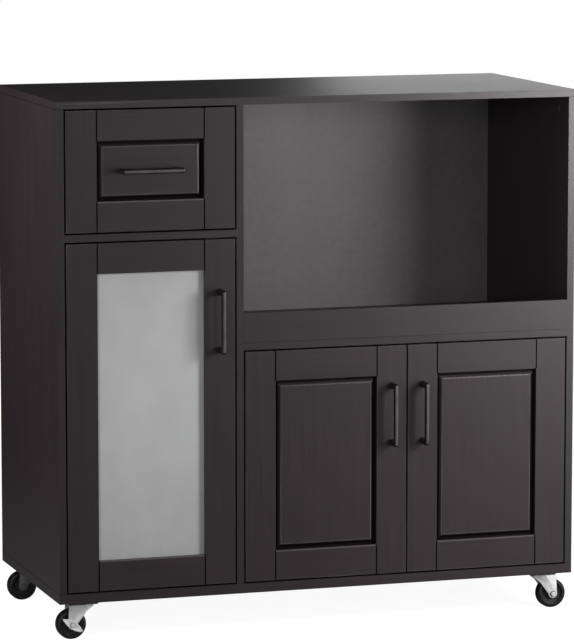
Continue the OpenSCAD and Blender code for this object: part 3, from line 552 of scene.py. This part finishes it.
def rounded_copy(name, material, width=EASED_METAL, segments=2, chosen=lambda edge: True):
    """Replaces a node by a welded copy with its chosen sharp edges rounded and its curved faces smooth."""
    shape = bmesh.new()
    shape.from_mesh(NODES[name].data)
    bmesh.ops.remove_doubles(shape, verts=shape.verts, dist=SNAP)
    bmesh.ops.dissolve_limit(shape, angle_limit=FLAT, verts=shape.verts, edges=shape.edges)
    sharp = [edge for edge in shape.edges
             if edge.is_manifold and edge.calc_face_angle() > SHARP_METAL and chosen(edge)]
    bmesh.ops.bevel(shape, geom=sharp, offset=width, offset_type="OFFSET", segments=segments,
                    profile=0.5, affect="EDGES", clamp_overlap=True, material=-1)
    for face in shape.faces:
        face.smooth = True
    for edge in shape.edges:
        edge.smooth = not edge.is_manifold or edge.calc_face_angle() < SHARP_METAL
    data = bpy.data.meshes.new(name + "_finished")
    shape.to_mesh(data)
    shape.free()
    piece = bpy.data.objects.new(name + "_finished", data)
    bpy.context.scene.collection.objects.link(piece)
    data.materials.append(material)
    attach(piece, NODES[name]["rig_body"])
    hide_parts(name)


BOARDS = {  # The boards whose grain runs along each axis
    "x": ["bottom_board", "drawer_shelf", "niche_shelf", "niche_lip_rail",
          "shelf_left", "shelf_right", "drawer_back"],
    "y": ["drawer_side_left", "drawer_side_right"],
    "z": ["divider_panel", "glass_beads"],
}
OUTER_UPRIGHTS = ["side_panel_left", "side_panel_right"]
THIN_BOARDS = ["back_panel_left", "back_panel_right", "drawer_bottom"]
FRAMES = ["drawer_front_frame", "glass_door_frame", "left_door_frame", "right_door_frame"]
PANELS = {  # The frame round each raised panel, and the axis that its grain runs along
    "drawer_front_panel": ("drawer_front_frame", "x"),
    "left_door_panel": ("left_door_frame", "z"),
    "right_door_panel": ("right_door_frame", "z"),
}
HANDLES = {  # The axis across each handle's bar: 0 is x and 2 is z
    "drawer_handle": 2, "glass_door_handle": 0, "left_door_handle": 0, "right_door_handle": 0}
ZINC_FITTINGS = ["shelf_pins", "hinge_arms_glass_door", "hinge_arms_left_door", "hinge_arms_right_door",
                 "glass_door_fittings", "left_door_fittings", "right_door_fittings"]
FORKS = {  # The zinc's tones on the fork at each corner; the rear ones are darker, as painted shade
    "front_left": BRIGHT_ZINC,
    "front_right": BRIGHT_ZINC,
    "rear_left": SHADED_ZINC,
    "rear_right": SHADED_ZINC,
}
BRAKED = ["front_left", "rear_right"]


def dress_wood():
    """Finishes and eases the boards, frames and panels, and finishes the thin boards."""
    for axis, names in BOARDS.items():
        wood = stained_wood("stained wood, grain along " + axis, axis)
        for name in names:
            finish_node(name, wood)
            ease_edges(name)
    finish_node("top_board", worktop_wood("stained wood of the top", "top_board"))
    ease_edges("top_board")
    upright = upright_wood("stained wood of the sides", OUTER_UPRIGHTS[0])
    for name in OUTER_UPRIGHTS:
        finish_node(name, upright)
        ease_edges(name)
    for name in FRAMES:
        finish_node(name, framed_wood("stained wood of the " + spoken(name), name))
        ease_edges(name)
    for name, (frame_name, axis) in PANELS.items():
        finish_node(name, panel_wood("stained wood of the " + spoken(name), frame_name, axis))
        ease_edges(name, EASED_FIELD, segments=3)
    board = hardboard()
    for name in THIN_BOARDS:
        finish_node(name, board)


def long_edges(across, middle, front):
    """Picks the edges along both sides of a handle, apart from those against the wood."""
    def chosen(edge):
        on_side = all(abs(abs(v.co[across] - middle) - HANDLE_HALF) < SNAP for v in edge.verts)
        return on_side and min(v.co.y for v in edge.verts) < front + HANDLE_REACH - OFF_THE_WOOD
    return chosen


def dress_hardware():
    """Finishes the metal, plastic, rubber and glass, and rounds the edges of the handles and castors."""
    for name, across in HANDLES.items():
        low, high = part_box(name)
        black = satin_black_metal("black lacquer of the " + spoken(name), low.y)
        along_bar = long_edges(across, (low + high)[across] / 2, low.y)
        rounded_copy(name, black, HANDLE_ROUND, segments=5, chosen=along_bar)
    zinc = zinc_plate("bright zinc plate", BRIGHT_ZINC)
    for name in ZINC_FITTINGS:
        finish_node(name, zinc)
    finish_node("cam_fittings", zinc_plate("dull cast zinc", CAST_ZINC))
    # The castor plates get a much darker zinc: painted shade, where the top shades them
    rounded_copy("castor_plates", zinc_plate("shade-darkened zinc of the castor plates", SHADE_DARKENED_ZINC))
    rubber = wheel_rubber()
    for corner, tones in FORKS.items():
        low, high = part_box("castor_wheel_" + corner)
        plated = zinc_plate("zinc of the castor fork " + spoken(corner), tones, rivet_at=(low + high) / 2)
        rounded_copy("castor_fork_" + corner, plated)
        rounded_copy("castor_wheel_" + corner, rubber, EASED_WHEEL)
    for corner in BRAKED:
        rounded_copy("brake_lever_" + corner, zinc)
    coat = pale_coat("epoxy coated steel", roughness=0.38)
    nylon = pale_coat("moulded nylon", roughness=0.5)
    for side in ("left", "right"):
        finish_node("cabinet_runner_" + side, coat)
        finish_node("drawer_runner_" + side, coat)
        finish_node("cabinet_roller_" + side, nylon)
        finish_node("drawer_roller_" + side, nylon)
    finish_node("magnetic_catches", catch_plastic())
    finish_node("glass_pane", frosted_glass())


# ---- Floor, light and camera ----

def ground():
    """A pale disc, white to the camera where no shadow falls on it."""
    mesh = bmesh.new()
    bmesh.ops.create_circle(mesh, cap_ends=True, segments=FLOOR_SIDES, radius=FLOOR_R)
    data = bpy.data.meshes.new("floor")
    mesh.to_mesh(data)
    mesh.free()
    floor = bpy.data.objects.new("floor", data)
    bpy.context.scene.collection.objects.link(floor)
    shader = Shader("pale floor")
    glow = shader.node("Emission", {}, {"Color": (1, 1, 1, 1), "Strength": FLOOR_GLOW})
    lifted = shader.node("AddShader", {}, {0: shader.own_surface(), 1: glow})
    shader.cover(shader.node("LightPath", output="Is Camera Ray"), lifted)
    data.materials.append(shader.set(
        Base_Color=(FLOOR_TONE, FLOOR_TONE, FLOOR_TONE, 1.0),
        Roughness=0.9,
        Specular_IOR_Level=0.1))


class Studio(Shader):
    """The world and its node tree."""

    def __init__(self, name):
        self.material = bpy.data.worlds.new(name)
        self.material.use_nodes = True
        self.tree = self.material.node_tree
        self.surface = self.tree.nodes["Background"]

    def ray(self, kind):
        """1 for rays of one kind, and 0 for the others."""
        return self.node("LightPath", output="Is " + kind + " Ray")


def surroundings():
    """White behind the object, and in its gloss a studio that is dark on the left and bright on the right."""
    studio = Studio("studio")
    seen = studio.ray("Camera") + studio.ray("Transmission")
    gloss = studio.ray("Glossy")
    sideways = studio.node("VectorMath", {"operation": "DOT_PRODUCT"}, {
        0: studio.node("TexCoord", output="Generated"),
        1: BRIGHT_SIDE,
    }, output="Value")
    greys = ((stop, (tone, tone, tone)) for stop, tone in MIRRORED_TONES)
    mirrored = studio.colours(sideways.between(-1.0, 1.0), *greys)
    level = seen + gloss * mirrored * MIRRORED_LEVEL + (1.0 - seen) * (1.0 - gloss) * DIFFUSE_LEVEL
    bpy.context.scene.world = studio.set(Color=(1, 1, 1, 1), Strength=level)


def lamps():
    """Soft lamps that the camera doesn't see."""
    for name, at, towards, size, watts in LAMPS:
        data = bpy.data.lights.new(name, "AREA")
        data.shape = "RECTANGLE"
        data.size, data.size_y = size
        data.energy = watts
        lamp = bpy.data.objects.new(name, data)
        bpy.context.scene.collection.objects.link(lamp)
        lamp.location = at
        lamp.rotation_euler = (Vector(towards) - Vector(at)).to_track_quat("-Z", "Y").to_euler()
        lamp.visible_camera = False
        lamp.visible_glossy = name != UNMIRRORED


def camera():
    """The camera, pitched down a little and without shift."""
    data = bpy.data.cameras.new("camera")
    data.sensor_fit = "HORIZONTAL"
    data.sensor_width = SENSOR_MM
    data.lens = SENSOR_MM * FOCAL_PX / IMAGE_W_PX
    data.clip_end = CAMERA_REACH
    seen_from = bpy.data.objects.new("camera", data)
    bpy.context.scene.collection.objects.link(seen_from)
    seen_from.location = CAMERA_AT
    seen_from.rotation_euler = Euler((math.radians(90 - CAMERA_PITCH), 0, math.radians(-CAMERA_YAW)))
    bpy.context.scene.camera = seen_from


dress_wood()
dress_hardware()
ground()
surroundings()
lamps()
camera()
bpy.context.scene.view_settings.view_transform = "Standard"
